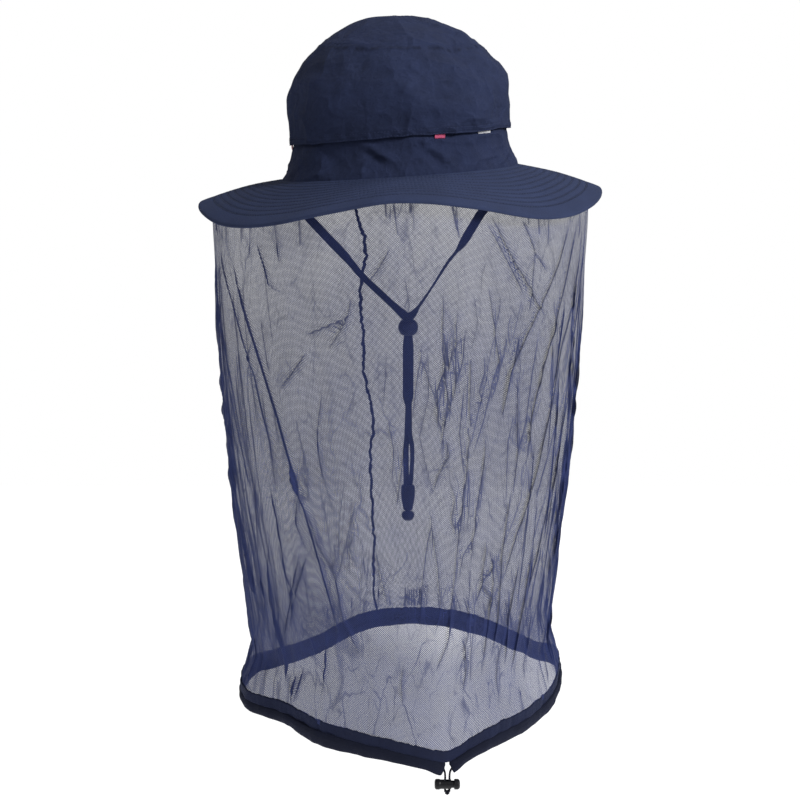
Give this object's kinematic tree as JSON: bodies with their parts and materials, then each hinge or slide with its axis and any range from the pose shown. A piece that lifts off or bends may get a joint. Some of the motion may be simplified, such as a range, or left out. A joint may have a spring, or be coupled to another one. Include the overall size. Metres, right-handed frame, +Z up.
{
  "type": "beekeeping veil",
  "caption": "Soft sun hat with a long net veil sewn under its wavy brim, a drawcord hem with a sprung cord lock, and a chin strap with a slider.",
  "frame": {"origin": "middle of the head opening, level with the seam between the crown and the brim", "axes": "+Z up out of the crown, -Y is the way the wearer looks, +X is the wearer's left"},
  "size_m": [0.334, 0.348, 0.6181],
  "materials": {
    "crown_cloth": "matt woven nylon",
    "brim_cloth": "matt woven nylon with rows of topstitching",
    "vent_mesh": "open knitted mesh",
    "sweatband_cloth": "soft brushed tape",
    "interlining": "stiff non-woven",
    "tape": "woven binding tape",
    "net": "fine knitted net",
    "hem_cloth": "matt woven nylon",
    "drawcord": "braided cord",
    "lock_plastic": "moulded, slightly glossy",
    "spring_steel": "bright wire",
    "strap_webbing": "woven tape",
    "slider_plastic": "moulded, matt",
    "end_plastic": "moulded, matt",
    "label_ribbon": "satin ribbon",
    "label_strip": "satin ribbon"
  },
  "bodies": {
    "hat": {"crown_tip": "crown_cloth", "crown_side": "crown_cloth", "crown_vent_mesh": "vent_mesh", "crown_band": "crown_cloth", "sweatband": "sweatband_cloth", "brim_top": "brim_cloth", "brim_interlining": "interlining", "brim_underside": "brim_cloth", "veil_tape": "tape", "veil_net": "net", "veil_back_seam": "tape", "chin_strap_anchors": "strap_webbing", "label_tab_front": "label_ribbon", "label_tab_side": "label_ribbon", "label_strip": "label_strip"},
    "veil_hem": {"hem_band": "hem_cloth", "hem_casing": "hem_cloth", "hem_drawcord": "drawcord", "drawcord_knot": "drawcord"},
    "hem_lock": {"hem_lock_body": "lock_plastic", "hem_lock_spring": "spring_steel"},
    "hem_lock_button": {"hem_lock_plunger": "lock_plastic"},
    "chin_strap": {"chin_strap_left": "strap_webbing", "chin_strap_right": "strap_webbing", "strap_end_sleeve": "end_plastic", "strap_end_bead": "end_plastic"},
    "strap_slider": {"chin_slider": "slider_plastic"}
  },
  "joints": [
    {"name": "veil_lift", "type": "slide", "parent": "hat", "child": "veil_hem", "axis": [0, 0, 1], "range_m": [0, 0.34], "deforming": ["veil_net", "veil_back_seam"]},
    {"name": "hem_lock_slide", "type": "slide", "parent": "veil_hem", "child": "hem_lock", "axis": [0, 0, 1], "range_m": [0, 0.003]},
    {"name": "hem_lock_press", "type": "slide", "parent": "hem_lock", "child": "hem_lock_button", "axis": [-1, 0, 0], "range_m": [0, 0.0022], "stiffness_N_per_m": 300, "springref_m": -0.003, "deforming": ["hem_lock_spring"]},
    {"name": "chin_strap_swing", "type": "hinge", "parent": "hat", "child": "chin_strap", "pos_m": [0, 0, -0.009], "axis": [1, 0, 0], "range_deg": [-20, 20]},
    {"name": "strap_slider_slide", "type": "slide", "parent": "chin_strap", "child": "strap_slider", "axis": [0, 0, -1], "range_m": [0, 0.045]}
  ]
}
